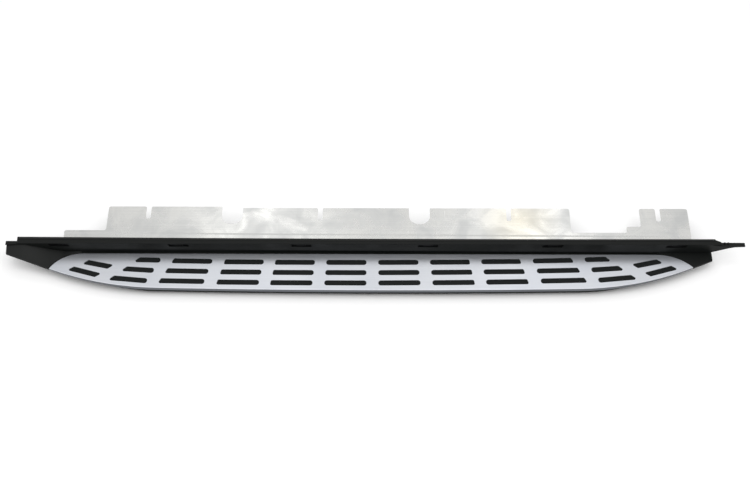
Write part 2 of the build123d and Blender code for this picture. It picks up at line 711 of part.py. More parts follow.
def support_bracket(x):
    """Angle bracket: one leg bolted to the web, one welded under the flange, with a rib between."""
    half = BRACKET_W / 2
    back = WEB_FRONT + SHEET_T
    leg_front = back + BRACKET_T
    flange_under = FLANGE_TOP - SHEET_T
    low_leg = block(x - half, x + half, back, leg_front, BEAM_BOTTOM, STRIP_TOP - SHEET_T)
    flange_start = fold_y(x) + JOGGLE + 1
    top_leg = block(x - half, x + half, flange_start, BRACKET_BACK, flange_under - BRACKET_T, flange_under)
    rib_outline = [
        (leg_front - 1, BEAM_BOTTOM),
        (leg_front + RIB_HEEL, BEAM_BOTTOM),
        (BRACKET_BACK, flange_under - BRACKET_T - RIB_NOSE),
        (BRACKET_BACK, flange_under - 1),
        (flange_start, flange_under - 1),
        (fold_y(x) - 1, STRIP_TOP - SHEET_T - 1),
        (leg_front - 1, STRIP_TOP - SHEET_T - 1),
    ]
    rib = prism_along_x(rib_outline, x - BRACKET_T / 2, x + BRACKET_T / 2)
    bracket = low_leg + top_leg + rib
    for side in (-1, 1):
        bracket -= peg(x + side * BOLT_OFFSET, BOLT_Z, back - 1, leg_front + 1, BOLT_R + HOLE_CLEARANCE)
    return bracket


def bracket_bolts():
    """Hexagon bolts through bracket and web into the beam's rivet nuts."""
    seat = WEB_FRONT + SHEET_T + BRACKET_T + WASHER_T
    bolts = []
    for x, z in bolt_places():
        head = hexagon_peg(x, z, seat, seat + BOLT_HEAD_H, BOLT_HEAD_R)
        shank = peg(x, z, WEB_FRONT - RIVET_NUT_LENGTH + 1, seat, BOLT_R)
        bolts.append(head + shank)
    return bolts


def bracket_washers():
    seat = WEB_FRONT + SHEET_T + BRACKET_T
    washers = []
    for x, z in bolt_places():
        ring = peg(x, z, seat, seat + WASHER_T, WASHER_R)
        washers.append(ring - peg(x, z, seat - 1, seat + WASHER_T + 1, BOLT_R + HOLE_CLEARANCE))
    return washers


def beam_rivet_nuts():
    """Threaded inserts set in the beam's back wall."""
    nuts = []
    for x, z in bolt_places():
        barrel = peg(x, z, WEB_FRONT - RIVET_NUT_LENGTH, WEB_FRONT, RIVET_NUT_R)
        inside = WEB_FRONT - BEAM_WALL
        barrel += peg(x, z, inside - RIVET_NUT_BULGE_T, inside, RIVET_NUT_R + RIVET_NUT_BULGE)
        bore = peg(x, z, WEB_FRONT - RIVET_NUT_LENGTH - 1, WEB_FRONT + 1, BOLT_R + HOLE_CLEARANCE)
        nuts.append(barrel - bore)
    return nuts


def upstand_rivets():
    """Blind rivets that hold the step body's upstand to the sheet's web."""
    back = WEB_FRONT + SHEET_T
    rivets = []
    for x in RIVET_XS:
        head = peg(x, RIVET_Z, back, back + RIVET_HEAD_H, RIVET_HEAD_R)
        head = chamfer(head.edges().sort_by(Axis.Y)[-1], 0.8)
        rivets.append(head + peg(x, RIVET_Z, WEB_FRONT - UPSTAND_T, back, RIVET_R))
    return rivets


def tread_studs():
    """Studs welded under the tread plate."""
    return [post(x, y, -TREAD_T - STUD_LENGTH, -TREAD_T, STUD_R) for x, y in stud_places()]


def tread_nuts():
    nuts = []
    for x, y in stud_places():
        nut = hexagon_post(x, y, DECK_BOTTOM - NUT_H, DECK_BOTTOM, NUT_R)
        nuts.append(nut - post(x, y, DECK_BOTTOM - NUT_H - 1, DECK_BOTTOM + 1, STUD_R + HOLE_CLEARANCE))
    return nuts


def body_screws():
    """Screws from the step body's deck into the beam, under the grip mats."""
    screws = []
    for x, y in body_screw_places():
        head = post(x, y, DECK_TOP - SCREW_HEAD_H, DECK_TOP, SCREW_HEAD_R)
        shank = post(x, y, DECK_BOTTOM - SCREW_GRIP, DECK_TOP - SCREW_HEAD_H, SCREW_R)
        screws.append(head + shank)
    return screws


def cap_section(x, back, top, front, front_z, wall, bottom):
    """A cap's cross-section at x: back wall, sloping top and short front lip, thinned by wall."""
    points = [
        (x, back - wall, bottom - wall),
        (x, back - wall, top - wall),
        (x, front + wall, front_z - wall),
        (x, front + wall, front_z - wall - CAP_LIP),
    ]
    return make_face(Polyline(*points, close=True))


def left_cap_at(x):
    """Top height and front edge (Y, Z) of the left end cap at x."""
    share = (x - LEFT_CAP_TOP_X) / (LEFT_CAP_LOW_X - LEFT_CAP_TOP_X)
    share = min(1.0, max(0.0, share))
    top = LEFT_CAP_TOP + (LEFT_CAP_LOW_TOP - LEFT_CAP_TOP) * share
    corner_y, corner_z = LEFT_CAP_CORNER
    tip_x, tip_y = LEFT_TIP
    if x < tip_x:
        along = (x - LEFT_CAP_END) / (tip_x - LEFT_CAP_END)
        return top, corner_y + (tip_y - corner_y) * along, corner_z * (1 - along)
    return top, corner_drop(-x, -tip_x, tip_y, LEFT_SHAPE[-1]), 0.0


def right_cap_at(x):
    """Top height and front edge (Y, Z) of the right end cap at x."""
    along = (x - RIGHT_CAP_START) / (RIGHT_CAP_END - RIGHT_CAP_START)
    top = RIGHT_CAP_HIGH_TOP + (RIGHT_CAP_TOP - RIGHT_CAP_HIGH_TOP) * along
    corner_y, corner_z = RIGHT_CAP_CORNER
    tip_x, tip_y = RIGHT_TIP
    if x > tip_x:
        past_tip = (x - tip_x) / (RIGHT_CAP_END - tip_x)
        return top, tip_y + (corner_y - tip_y) * past_tip, corner_z
    return top, corner_drop(x, tip_x, tip_y, RIGHT_SHAPE[-1]), 0.0


def corner_drop(x, tip_x, tip_y, corner_x):
    """Y of a rounded back corner of the tread at a distance x from the middle."""
    radius = corner_radius(tip_x - corner_x, tip_y)
    dx = max(0.0, x - corner_x)
    return math.sqrt(radius ** 2 - dx ** 2) - radius


def cap_body(stations, shape_at, back, wall, bottom):
    """A loft through the cap's cross-sections, straight from one to the next."""
    sections = []
    for x in stations:
        top, front, front_z = shape_at(x)
        sections.append(cap_section(x, back, top, front, front_z, wall, bottom))
    return loft(sections, ruled=True)


def cap_stations(start, tip, end):
    """X places from start to end, with one exactly at the tread's tip."""
    first = [start + (tip - start) * i / CAP_STATIONS for i in range(CAP_STATIONS)]
    last = [tip + (end - tip) * i / CAP_STATIONS for i in range(CAP_STATIONS + 1)]
    return first + last


def tread_keep_out():
    """The space that the tread and step body take, with running clearance."""
    return Pos(0, 0, -30) * extrude(offset(TREAD_FACE, CLEARANCE, kind=Kind.INTERSECTION), 90)


def end_cap_left():
    """Hollow cap that rises from the tread's left tip to the trim's ledge."""
    stations = cap_stations(LEFT_CAP_END, LEFT_TIP[0], LEFT_CAP_START)
    outer = cap_body(stations, left_cap_at, FACE_Y, 0, CAP_BOTTOM)
    inner_stations = cap_stations(LEFT_CAP_END + CAP_WALL, LEFT_TIP[0], LEFT_CAP_LOW_X)
    inner = cap_body(inner_stations, left_cap_at, FACE_Y, CAP_WALL, CAP_BOTTOM)
    cap = outer - inner - tread_keep_out()
    z = CAP_SCREW_Z[0]
    for x in LEFT_CAP_SCREW_XS:
        boss = peg(x, z, FACE_Y - CAP_BOSS_LENGTH, FACE_Y, SCREW_R + CAP_BOSS_WALL)
        cap += boss & outer
        cap -= peg(x, z, FACE_Y - CAP_SCREW_GRIP - 1, FACE_Y + 1, SCREW_R + HOLE_CLEARANCE)
    return cap.solids().sort_by(SortBy.VOLUME)[-1]


def end_cap_right():
    """Low cap under the trim's overhang, with a flange that goes up behind the trim's face."""
    stations = cap_stations(RIGHT_CAP_START, RIGHT_TIP[0], RIGHT_CAP_END)
    cap = cap_body(stations, right_cap_at, WEB_FRONT, 0, CAP_BOTTOM) - tread_keep_out()
    front = WEB_FRONT - UPSTAND_T
    cap += block(RIGHT_CAP_START, FACE_RIGHT - CAP_WALL, front, WEB_FRONT, CAP_BOTTOM, CAP_FLANGE_TOP)
    for x in RIGHT_CAP_SCREW_XS:
        cap -= peg(x, CAP_SCREW_Z[1], front - 1, WEB_FRONT + 1, SCREW_R + HOLE_CLEARANCE)
    return cap.solids().sort_by(SortBy.VOLUME)[-1]


def cap_screws():
    """Pan-head screws from behind: two into the left cap, two from the right cap into the trim."""
    screws = []
    left_seat = FACE_Y + WALL
    for x in LEFT_CAP_SCREW_XS:
        z = CAP_SCREW_Z[0]
        head = peg(x, z, left_seat, left_seat + CAP_SCREW_HEAD_H, SCREW_HEAD_R)
        screws.append(head + peg(x, z, FACE_Y - CAP_SCREW_GRIP, left_seat, SCREW_R))
    for x in RIGHT_CAP_SCREW_XS:
        z = CAP_SCREW_Z[1]
        head = peg(x, z, WEB_FRONT, WEB_FRONT + CAP_SCREW_HEAD_H, SCREW_HEAD_R)
        screws.append(head + peg(x, z, FACE_Y + HOLE_CLEARANCE + 1, WEB_FRONT, SCREW_R))
    return screws


def save(name, shape):
    """Write one node with the board's origin at the middle of its underside."""
    solids = shape if isinstance(shape, list) else [shape]
    middle_x = (LEFT_END + RIGHT_END) / 2
    middle_y = (TREAD_FRONT + FLANGE_BACK_LEFT) / 2
    place = Pos(-middle_x, -middle_y, -BEAM_BOTTOM)
    moved = [place * solid for solid in solids]
    node = moved[0] if len(moved) == 1 else Compound(children=moved)
    node.label = name
    export_step(node, f"parts/{name}.step")


def main():
    os.makedirs("parts", exist_ok=True)
    save("tread_plate", tread_plate())
    for name, (x0, x1) in mat_ranges().items():
        save(name, grip_mat(x0, x1))
    save("step_body", step_body())
    save("sill_trim", sill_trim())
    save("trim_clips", trim_clips())
    save("sill_seal", sill_seal())
    save("mounting_sheet", mounting_sheet())
    save("support_beam", support_beam())
    save("beam_plug_right", beam_plug())
    save("beam_plug_left", mirrored(beam_plug()))
    for number, x in enumerate(BRACKET_XS, start=1):
        save(f"support_bracket_{number}", support_bracket(x))
    save("bracket_bolts", bracket_bolts())
    save("bracket_washers", bracket_washers())
    save("beam_rivet_nuts", beam_rivet_nuts())
    save("upstand_rivets", upstand_rivets())
    save("tread_studs", tread_studs())
    save("tread_nuts", tread_nuts())
    save("body_screws", body_screws())
    save("end_cap_left", end_cap_left())
    save("end_cap_right", end_cap_right())
    save("cap_screws", cap_screws())


main()
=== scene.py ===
import math

import bmesh
import bpy
from mathutils import Matrix, Vector


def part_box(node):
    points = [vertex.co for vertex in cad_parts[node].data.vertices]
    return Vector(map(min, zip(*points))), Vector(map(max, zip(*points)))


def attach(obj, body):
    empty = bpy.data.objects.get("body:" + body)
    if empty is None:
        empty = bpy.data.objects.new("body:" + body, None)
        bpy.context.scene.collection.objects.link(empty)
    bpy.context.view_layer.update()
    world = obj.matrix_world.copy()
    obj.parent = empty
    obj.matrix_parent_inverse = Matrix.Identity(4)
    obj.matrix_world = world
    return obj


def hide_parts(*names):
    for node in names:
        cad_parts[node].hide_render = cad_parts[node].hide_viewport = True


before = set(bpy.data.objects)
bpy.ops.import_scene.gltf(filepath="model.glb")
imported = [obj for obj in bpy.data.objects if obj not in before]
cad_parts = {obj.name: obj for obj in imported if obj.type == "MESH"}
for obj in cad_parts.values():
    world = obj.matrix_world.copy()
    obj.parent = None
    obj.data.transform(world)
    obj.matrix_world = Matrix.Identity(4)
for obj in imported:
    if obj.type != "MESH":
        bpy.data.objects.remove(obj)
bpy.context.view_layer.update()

MM = 0.001


# ---- Studio --------------------------------------------------------------------------------------
# The board lies on a pale sweep. The camera stands well back with a short telephoto lens and looks
# down on the tread. One wide softbox hangs overhead, and a bank of three stands behind the board,
# where the flat metal mirrors it: a broad dim one and two narrow bright ones.
camera_data = bpy.data.cameras.new("camera")
camera_data.sensor_width = 36.0
camera_data.lens = 72.2
camera = bpy.data.objects.new("camera", camera_data)
bpy.context.scene.collection.objects.link(camera)
elevation = math.radians(52.0)
distance = 4.072
aim = Vector((-0.0007, 0.0121, 0.032))
camera.location = aim + distance * Vector((0.0, -math.cos(elevation), math.sin(elevation)))
tilt = Matrix.Rotation(math.pi / 2 - elevation, 4, "X")
roll = Matrix.Rotation(math.radians(0.14), 4, "Z")
camera.rotation_euler = (tilt @ roll).to_euler()
bpy.context.scene.camera = camera
bpy.context.scene.view_settings.view_transform = "Standard"

world = bpy.data.worlds.new("studio_walls")
bpy.context.scene.world = world
world.use_nodes = True
walls = world.node_tree.nodes["Background"]
walls.inputs["Color"].default_value = (1.0, 1.0, 1.0, 1.0)
walls.inputs["Strength"].default_value = 0.72


def softbox(name, place, width, depth, brightness):
    """A flat light of even brightness that faces the board."""
    data = bpy.data.lights.new(name, "AREA")
    data.shape = "RECTANGLE"
    data.size = width
    data.size_y = depth
    data.energy = brightness * math.pi * width * depth
    light = bpy.data.objects.new(name, data)
    light.location = place
    light.rotation_euler = (aim - Vector(place)).to_track_quat("-Z", "Y").to_euler()
    bpy.context.scene.collection.objects.link(light)


BANK_DISTANCE = 3.0
NARROW_NEARER = 0.97  # the narrow pair stands just in front of the wide one
bank_y = BANK_DISTANCE * math.cos(elevation)
bank_z = BANK_DISTANCE * math.sin(elevation)
softbox("overhead_softbox", (0.0, -0.7, 3.2), 5.0, 3.2, 1.45)
softbox("back_softbox_wide", (0.12, bank_y, bank_z), 2.9, 1.9, 0.06)
softbox("back_softbox_left", (-0.5, bank_y * NARROW_NEARER, bank_z * NARROW_NEARER), 0.42, 1.5, 0.65)
softbox("back_softbox_right", (0.69, bank_y * NARROW_NEARER, bank_z * NARROW_NEARER), 0.42, 1.5, 0.7)


def linear(hex_colour):
    """An sRGB hex colour as a linear colour with full opacity."""
    channels = [int(hex_colour[i:i + 2], 16) / 255 for i in (1, 3, 5)]
    return tuple(c / 12.92 if c <= 0.04045 else ((c + 0.055) / 1.055) ** 2.4 for c in channels) + (1.0,)


def surface(name, colour, metallic, roughness):
    """A new material: its node tree and its shader, with the values that are the same all over."""
    material = bpy.data.materials.new(name)
    material.use_nodes = True
    shader = material.node_tree.nodes["Principled BSDF"]
    shader.inputs["Base Color"].default_value = linear(colour)
    shader.inputs["Metallic"].default_value = metallic
    shader.inputs["Roughness"].default_value = roughness
    return material, material.node_tree, shader


def add(tree, kind, settings, links):
    """Adds one node: settings go to its sockets or, failing that, to its own properties."""
    node = tree.nodes.new(kind)
    for name, value in settings.items():
        if isinstance(name, int) or name in node.inputs:
            node.inputs[name].default_value = value
        else:
            setattr(node, name, value)
    for name, output in links.items():
        tree.links.new(output, node.inputs[name])
    return node


def seamless_paper():
    """Matt white paper, with the faint unevenness of a rolled sheet."""
    material, tree, shader = surface("white_paper", "#F9F9F9", 0.0, 0.85)
    place = add(tree, "ShaderNodeTexCoord", {}, {})
    waves = add(tree, "ShaderNodeTexNoise", {"Scale": 1.5, "Detail": 1.0},
                {"Vector": place.outputs["Object"]})
    limits = {"To Min": 0.8, "To Max": 0.9}
    dull = add(tree, "ShaderNodeMapRange", limits, {"Value": waves.outputs["Fac"]})
    tree.links.new(dull.outputs["Result"], shader.inputs["Roughness"])
    return material


FLOOR_GAP = 0.2 * MM  # keeps the board's lowest face out of the floor's own plane
floor_shape = bmesh.new()
bmesh.ops.create_grid(floor_shape, x_segments=1, y_segments=1, size=8.0)
floor_mesh = bpy.data.meshes.new("floor")
floor_shape.to_mesh(floor_mesh)
floor_shape.free()
floor_mesh.transform(Matrix.Translation((0.0, 0.0, -FLOOR_GAP)))
floor_mesh.materials.append(seamless_paper())
floor = bpy.data.objects.new("floor", floor_mesh)
bpy.context.scene.collection.objects.link(floor)


# ---- Tread plate ---------------------------------------------------------------------------------
# A 1.5 mm aluminium pressing with a turned-down front lip. It is brushed along its length, pierced
# with the slots and then silver anodised, so it is satin and faintly blue. The upright lip is given
# a darker grey, which is painted shade. The anodic film scatters a little light.
MIX_A = 6
MIX_B = 7
MIX_COLOUR = 2


def satin_anodised_aluminium():
    material, tree, shader = surface("satin_anodised_aluminium", "#D5D8DE", 0.9, 0.35)
    place = add(tree, "ShaderNodeTexCoord", {}, {})
    # Brushing lines are about 0.1 mm apart. They are drawn 1.2 mm apart and 90 mm long, to show.
    hair_scale = (1 / (90 * MM), 1 / (1.2 * MM), 1 / (1.2 * MM))
    stretched = add(tree, "ShaderNodeMapping", {"Scale": hair_scale}, {"Vector": place.outputs["Object"]})
    hairs = add(tree, "ShaderNodeTexNoise", {"Scale": 1.0, "Detail": 4.0}, {"Vector": stretched.outputs[0]})
    # The anodic film varies slowly over a hand's width.
    clouds = add(tree, "ShaderNodeTexNoise", {"Scale": 9.0, "Detail": 2.0},
                 {"Vector": place.outputs["Object"]})
    film = add(tree, "ShaderNodeMix",
               {"data_type": "RGBA", MIX_A: linear("#CFD3DB"), MIX_B: linear("#E0E2E6")},
               {0: clouds.outputs["Fac"]})
    streaks = {"To Min": 0.9, "To Max": 1.06}
    streak = add(tree, "ShaderNodeMapRange", streaks, {"Value": hairs.outputs["Fac"]})
    brushed = add(tree, "ShaderNodeVectorMath", {"operation": "SCALE"},
                  {"Vector": film.outputs[MIX_COLOUR], "Scale": streak.outputs["Result"]})
    normal = add(tree, "ShaderNodeSeparateXYZ", {}, {"Vector": place.outputs["Normal"]})
    # 0 on the lip, which stands upright, and 1 on the flat top.
    lip_shade_mask = add(tree, "ShaderNodeMapRange", {"From Min": 0.15, "From Max": 0.9},
                   {"Value": normal.outputs["Z"]})
    # The upright lip's darker grey is painted shade.
    whole = add(tree, "ShaderNodeMix", {"data_type": "RGBA", MIX_A: linear("#6A6D72")},
                {0: lip_shade_mask.outputs["Result"], MIX_B: brushed.outputs["Vector"]})
    tree.links.new(whole.outputs[MIX_COLOUR], shader.inputs["Base Color"])
    dullness = {"To Min": 0.29, "To Max": 0.4}
    dull = add(tree, "ShaderNodeMapRange", dullness, {"Value": hairs.outputs["Fac"]})
    tree.links.new(dull.outputs["Result"], shader.inputs["Roughness"])
    relief = add(tree, "ShaderNodeBump", {"Strength": 0.12, "Distance": 0.05 * MM},
                 {"Height": hairs.outputs["Fac"]})
    tree.links.new(relief.outputs["Normal"], shader.inputs["Normal"])
    return material


SEAM = 0.005 * MM
FLAT_WITHIN = 0.05
SHARP_FROM = 35


def dress(node, material, edge):
    """Gives a CAD node its material and finishes its surface.

    Seams are closed, flat areas are merged, sharp edges are eased by edge millimetres, and flats are
    shaded evenly. The surface stays within about 0.25 mm of the CAD's, but for a few spots on the
    sheet, trim, step body and beam, which come in by up to 1 mm.
    """
    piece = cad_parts[node]
    piece.data.materials.clear()
    piece.data.materials.append(material)
    for polygon in piece.data.polygons:
        polygon.use_smooth = True
    weld = piece.modifiers.new("closed_seams", "WELD")
    weld.merge_threshold = SEAM
    flats = piece.modifiers.new("whole_flats", "DECIMATE")
    flats.decimate_type = "DISSOLVE"
    flats.angle_limit = math.radians(FLAT_WITHIN)
    if edge:
        bevel = piece.modifiers.new("eased_edges", "BEVEL")
        bevel.width = edge * MM
        bevel.segments = 2
        bevel.limit_method = "ANGLE"
        bevel.angle_limit = math.radians(SHARP_FROM)
        bevel.use_clamp_overlap = True
    shading = piece.modifiers.new("true_flats", "WEIGHTED_NORMAL")
    shading.mode = "FACE_AREA"
    shading.weight = 100
    shading.thresh = 0.0


dress("tread_plate", satin_anodised_aluminium(), 0.35)


# ---- Grip mats -----------------------------------------------------------------------------------
# Three lengths of moulded black rubber lie under the tread, with a raised pad through each slot.
# The pads' tops carry fine cross ribs, so the rubber looks dull and faintly blue-green.
def ribbed_rubber():
    material, tree, shader = surface("ribbed_rubber", "#0D1010", 0.0, 0.66)
    shader.inputs["IOR"].default_value = 1.5
    shader.inputs["Specular IOR Level"].default_value = 0.18
    place = add(tree, "ShaderNodeTexCoord", {}, {})
    # The mould's own lines, about 1 mm apart, are too fine to show. They are drawn 3.5 mm apart.
    ribs = add(tree, "ShaderNodeTexWave",
               {"Scale": 0.314 / (3.5 * MM), "Distortion": 0.0, "bands_direction": "X"},
               {"Vector": place.outputs["Object"]})
    # Rubber powder and bloom gather in patches about 15 mm across.
    bloom = add(tree, "ShaderNodeTexNoise", {"Scale": 1 / (15 * MM), "Detail": 5.0},
                {"Vector": place.outputs["Object"]})
    tone = add(tree, "ShaderNodeMix",
               {"data_type": "RGBA", MIX_A: linear("#090C0C"), MIX_B: linear("#121515")},
               {0: bloom.outputs["Fac"]})
    tree.links.new(tone.outputs[MIX_COLOUR], shader.inputs["Base Color"])
    relief = add(tree, "ShaderNodeBump", {"Strength": 0.35, "Distance": 0.3 * MM},
                 {"Height": ribs.outputs["Fac"]})
    tree.links.new(relief.outputs["Normal"], shader.inputs["Normal"])
    return material


mats = ("grip_mat_left", "grip_mat_centre", "grip_mat_right")
mat_material = ribbed_rubber()
for mat in mats:
    dress(mat, mat_material, 0.0)


# ---- Grip pad ribs -------------------------------------------------------------------------------
# Low ribs moulded across the top of every pad, for grip. They are part of the same black rubber,
# and follow each pad's outline, a little inside its eased edge.
RIB_PITCH = 4 * MM
RIB_WIDTH = 1.8 * MM
RIB_HEIGHT = 0.35 * MM
RIB_MARGIN = 0.8 * MM
RIB_EASE = 0.25 * MM
DOUBLES = 0.002 * MM
SMALLEST_RIB = 0.5 * MM * MM  # slivers at a pad's ends are left out


def linked(name, shape, material):
    """An object at the origin that holds a finished bmesh."""
    mesh = bpy.data.meshes.new(name)
    shape.to_mesh(mesh)
    shape.free()
    mesh.materials.append(material)
    piece = bpy.data.objects.new(name, mesh)
    bpy.context.scene.collection.objects.link(piece)
    return piece


def close_up(shape):
    """Merges doubles and turns every face outward."""
    bmesh.ops.remove_doubles(shape, verts=shape.verts, dist=DOUBLES)
    bmesh.ops.recalc_face_normals(shape, faces=shape.faces)


def everything(shape):
    """All the vertices, edges and faces of a bmesh."""
    return shape.verts[:] + shape.edges[:] + shape.faces[:]


for mat in mats:
    ribs = bmesh.new()
    ribs.from_mesh(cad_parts[mat].data)
    bmesh.ops.remove_doubles(ribs, verts=ribs.verts, dist=SEAM)
    pad_top = max(vert.co.z for vert in ribs.verts)
    below = [face for face in ribs.faces if min(vert.co.z for vert in face.verts) < pad_top - 0.01 * MM]
    bmesh.ops.delete(ribs, geom=below, context="FACES")
    bmesh.ops.dissolve_limit(ribs, angle_limit=0.01, verts=ribs.verts, edges=ribs.edges)
    edging = bmesh.ops.inset_region(ribs, faces=ribs.faces, thickness=RIB_MARGIN, use_boundary=True)
    bmesh.ops.delete(ribs, geom=edging["faces"], context="FACES")
    left_end = min(vert.co.x for vert in ribs.verts)
    right_end = max(vert.co.x for vert in ribs.verts)
    for step in range(math.ceil((right_end - left_end) / RIB_PITCH)):
        for cut in (left_end + step * RIB_PITCH, left_end + step * RIB_PITCH + RIB_WIDTH):
            bmesh.ops.bisect_plane(ribs, geom=everything(ribs), plane_co=(cut, 0, 0), plane_no=(1, 0, 0))
    gaps = [
        face for face in ribs.faces
        if (face.calc_center_bounds().x - left_end) % RIB_PITCH > RIB_WIDTH
        or face.calc_area() < SMALLEST_RIB
    ]
    bmesh.ops.delete(ribs, geom=gaps, context="FACES")
    bases = ribs.faces[:]
    raised = bmesh.ops.extrude_face_region(ribs, geom=bases, use_keep_orig=True)["geom"]
    tops = [part for part in raised if isinstance(part, bmesh.types.BMFace)]
    top_verts = [part for part in raised if isinstance(part, bmesh.types.BMVert)]
    bmesh.ops.translate(ribs, vec=(0, 0, RIB_HEIGHT), verts=top_verts)
    rims = list({edge for face in tops for edge in face.edges})
    bmesh.ops.bevel(ribs, geom=rims, offset=RIB_EASE, affect="EDGES", segments=2, profile=0.5, material=-1)
    close_up(ribs)
    rib_piece = linked(f"{mat}_ribs", ribs, mat_material)
    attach(rib_piece, "root")


# ---- Step body, sill trim and end caps ------------------------------------------------------------
# Injection-moulded black polypropylene with a fine spark-eroded grain. It takes up hardly any
# light, and its gloss is broken into a soft haze. Its moulded corners are slightly round.
def grained_polypropylene():
    material, tree, shader = surface("grained_polypropylene", "#0F1110", 0.0, 0.5)
    shader.inputs["IOR"].default_value = 1.49
    shader.inputs["Specular IOR Level"].default_value = 0.17
    place = add(tree, "ShaderNodeTexCoord", {}, {})
    # Spark grain is about 0.3 mm across. It is drawn 1.6 mm across, so that it shows.
    grain = add(tree, "ShaderNodeTexNoise", {"Scale": 1 / (1.6 * MM), "Detail": 3.0},
                {"Vector": place.outputs["Object"]})
    flow = add(tree, "ShaderNodeTexNoise", {"Scale": 6.0, "Detail": 3.0},
               {"Vector": place.outputs["Object"]})
    tone = add(tree, "ShaderNodeMix",
               {"data_type": "RGBA", MIX_A: linear("#0B0D0C"), MIX_B: linear("#151716")},
               {0: flow.outputs["Fac"]})
    tree.links.new(tone.outputs[MIX_COLOUR], shader.inputs["Base Color"])
    haze = {"From Min": 0.3, "From Max": 0.7, "To Min": 0.38, "To Max": 0.62}
    dull = add(tree, "ShaderNodeMapRange", haze, {"Value": flow.outputs["Fac"]})
    tree.links.new(dull.outputs["Result"], shader.inputs["Roughness"])
    relief = add(tree, "ShaderNodeBump", {"Strength": 0.5, "Distance": 0.25 * MM},
                 {"Height": grain.outputs["Fac"]})
    tree.links.new(relief.outputs["Normal"], shader.inputs["Normal"])
    return material


plastic = grained_polypropylene()
dress("step_body", plastic, 0.4)
dress("sill_trim", plastic, 0.7)
dress("end_cap_left", plastic, 0.7)
dress("end_cap_right", plastic, 0.5)


# ---- Trim clips and beam plugs -------------------------------------------------------------------
# Small black nylon mouldings, pushed into place. Nylon from a polished tool is smoother and a
# little glossier than the grained trim.
def moulded_nylon():
    # The clips are coloured darker than the trim as painted shade for the trim's windows they fill.
    material, tree, shader = surface("moulded_nylon", "#0A0A0B", 0.0, 0.35)
    shader.inputs["IOR"].default_value = 1.53
    shader.inputs["Specular IOR Level"].default_value = 0.08
    place = add(tree, "ShaderNodeTexCoord", {}, {})
    flow = add(tree, "ShaderNodeTexNoise", {"Scale": 1 / (8 * MM), "Detail": 3.0},
               {"Vector": place.outputs["Object"]})
    limits = {"To Min": 0.28, "To Max": 0.42}
    dull = add(tree, "ShaderNodeMapRange", limits, {"Value": flow.outputs["Fac"]})
    tree.links.new(dull.outputs["Result"], shader.inputs["Roughness"])
    tone = add(tree, "ShaderNodeMix",
               {"data_type": "RGBA", MIX_A: linear("#070708"), MIX_B: linear("#0E0E0F")},
               {0: flow.outputs["Fac"]})
    tree.links.new(tone.outputs[MIX_COLOUR], shader.inputs["Base Color"])
    return material


nylon = moulded_nylon()
for part in ("trim_clips", "beam_plug_left", "beam_plug_right"):
    dress(part, nylon, 0.3)


# ---- Sill seal -----------------------------------------------------------------------------------
# An extruded rubber edging, lapped over the back of the ledge. Extruding draws faint lines along
# it, and the rubber is the dullest black on the board.
def extruded_rubber():
    material, tree, shader = surface("extruded_rubber", "#101010", 0.0, 0.7)
    shader.inputs["IOR"].default_value = 1.52
    shader.inputs["Specular IOR Level"].default_value = 0.3
    place = add(tree, "ShaderNodeTexCoord", {}, {})
    draw_scale = (1 / (60 * MM), 1 / (0.8 * MM), 1 / (0.8 * MM))
    stretched = add(tree, "ShaderNodeMapping", {"Scale": draw_scale}, {"Vector": place.outputs["Object"]})
    lines = add(tree, "ShaderNodeTexNoise", {"Scale": 1.0, "Detail": 3.0}, {"Vector": stretched.outputs[0]})
    tone = add(tree, "ShaderNodeMix",
               {"data_type": "RGBA", MIX_A: linear("#0C0C0C"), MIX_B: linear("#171717")},
               {0: lines.outputs["Fac"]})
    tree.links.new(tone.outputs[MIX_COLOUR], shader.inputs["Base Color"])
    relief = add(tree, "ShaderNodeBump", {"Strength": 0.2, "Distance": 0.1 * MM},
                 {"Height": lines.outputs["Fac"]})
    tree.links.new(relief.outputs["Normal"], shader.inputs["Normal"])
    return material


dress("sill_seal", extruded_rubber(), 0.0)


